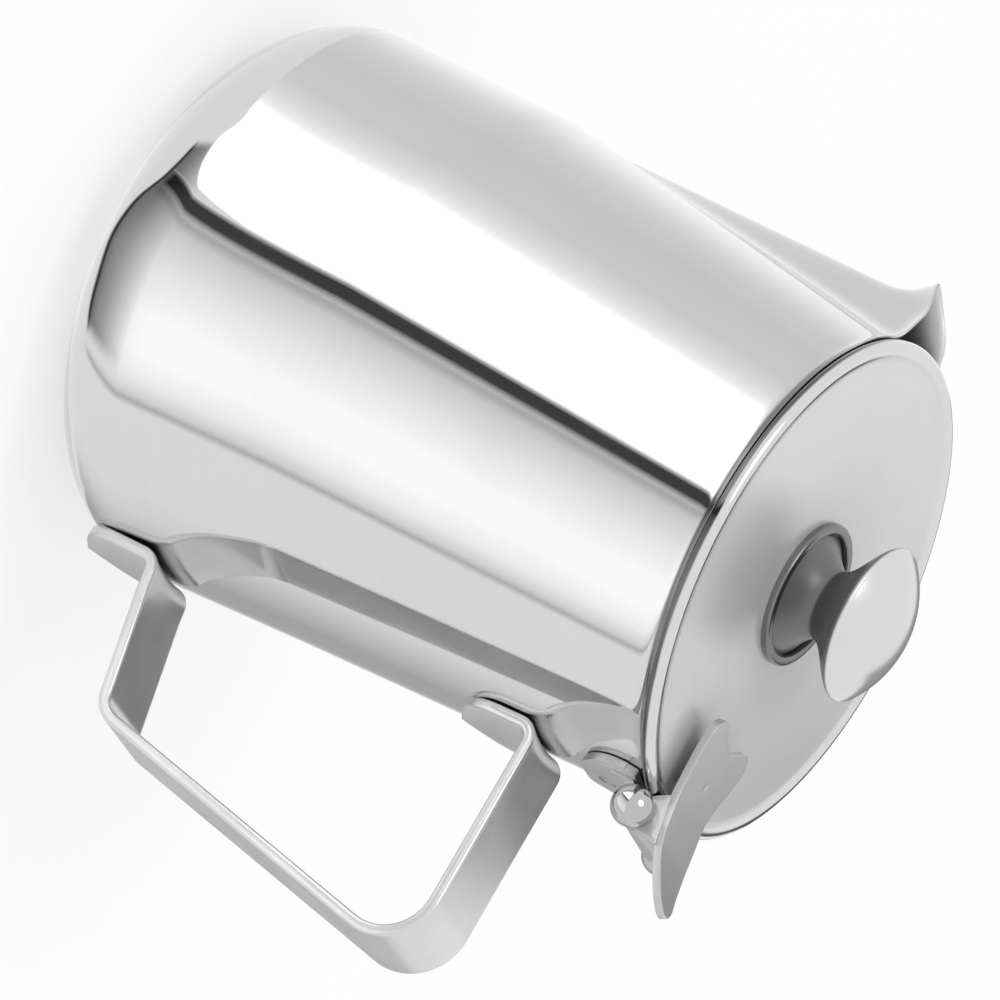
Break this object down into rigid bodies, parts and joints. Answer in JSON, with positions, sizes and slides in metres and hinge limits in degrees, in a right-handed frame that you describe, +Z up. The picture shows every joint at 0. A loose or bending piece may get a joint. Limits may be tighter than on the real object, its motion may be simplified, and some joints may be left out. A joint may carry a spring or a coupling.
{
  "type": "hot milk jug with lid",
  "caption": "Stainless steel milk jug with a drawn-in mouth, pressed spout, bent strap handle and a hinged lid with knob and thumb lever.",
  "frame": {"origin": "centre of the jug's base, on the face it stands on", "axes": "+Z up through the jug, +X towards the spout, -X towards the handle; the jug is mirror-symmetric across the XZ plane"},
  "size_m": [0.1288, 0.09, 0.1298],
  "materials": {
    "polished_body": "mirror polished stainless steel sheet",
    "polished_lid": "bright polished stainless steel sheet",
    "satin_strap": "satin stainless steel strap with bright sheared edges",
    "satin_sheet": "satin stainless steel pressing",
    "bright_pin": "bright turned steel",
    "polished_knob": "polished turned steel"
  },
  "bodies": {
    "jug": {"jug_body": "polished_body", "handle": "satin_strap", "hinge_bracket": "satin_sheet"},
    "lid_assembly": {"lid": "polished_lid", "thumb_lever": "satin_sheet", "knob_collar": "satin_sheet", "knob": "polished_knob", "knob_washer": "bright_pin", "knob_screw": "bright_pin", "hinge_pin": "bright_pin", "pin_cap": "bright_pin"}
  },
  "joints": [
    {"name": "lid_hinge", "type": "hinge", "parent": "jug", "child": "lid_assembly", "pos_m": [-0.0472, 0, 0.112], "axis": [0, -1, 0], "range_deg": [0, 100]}
  ]
}
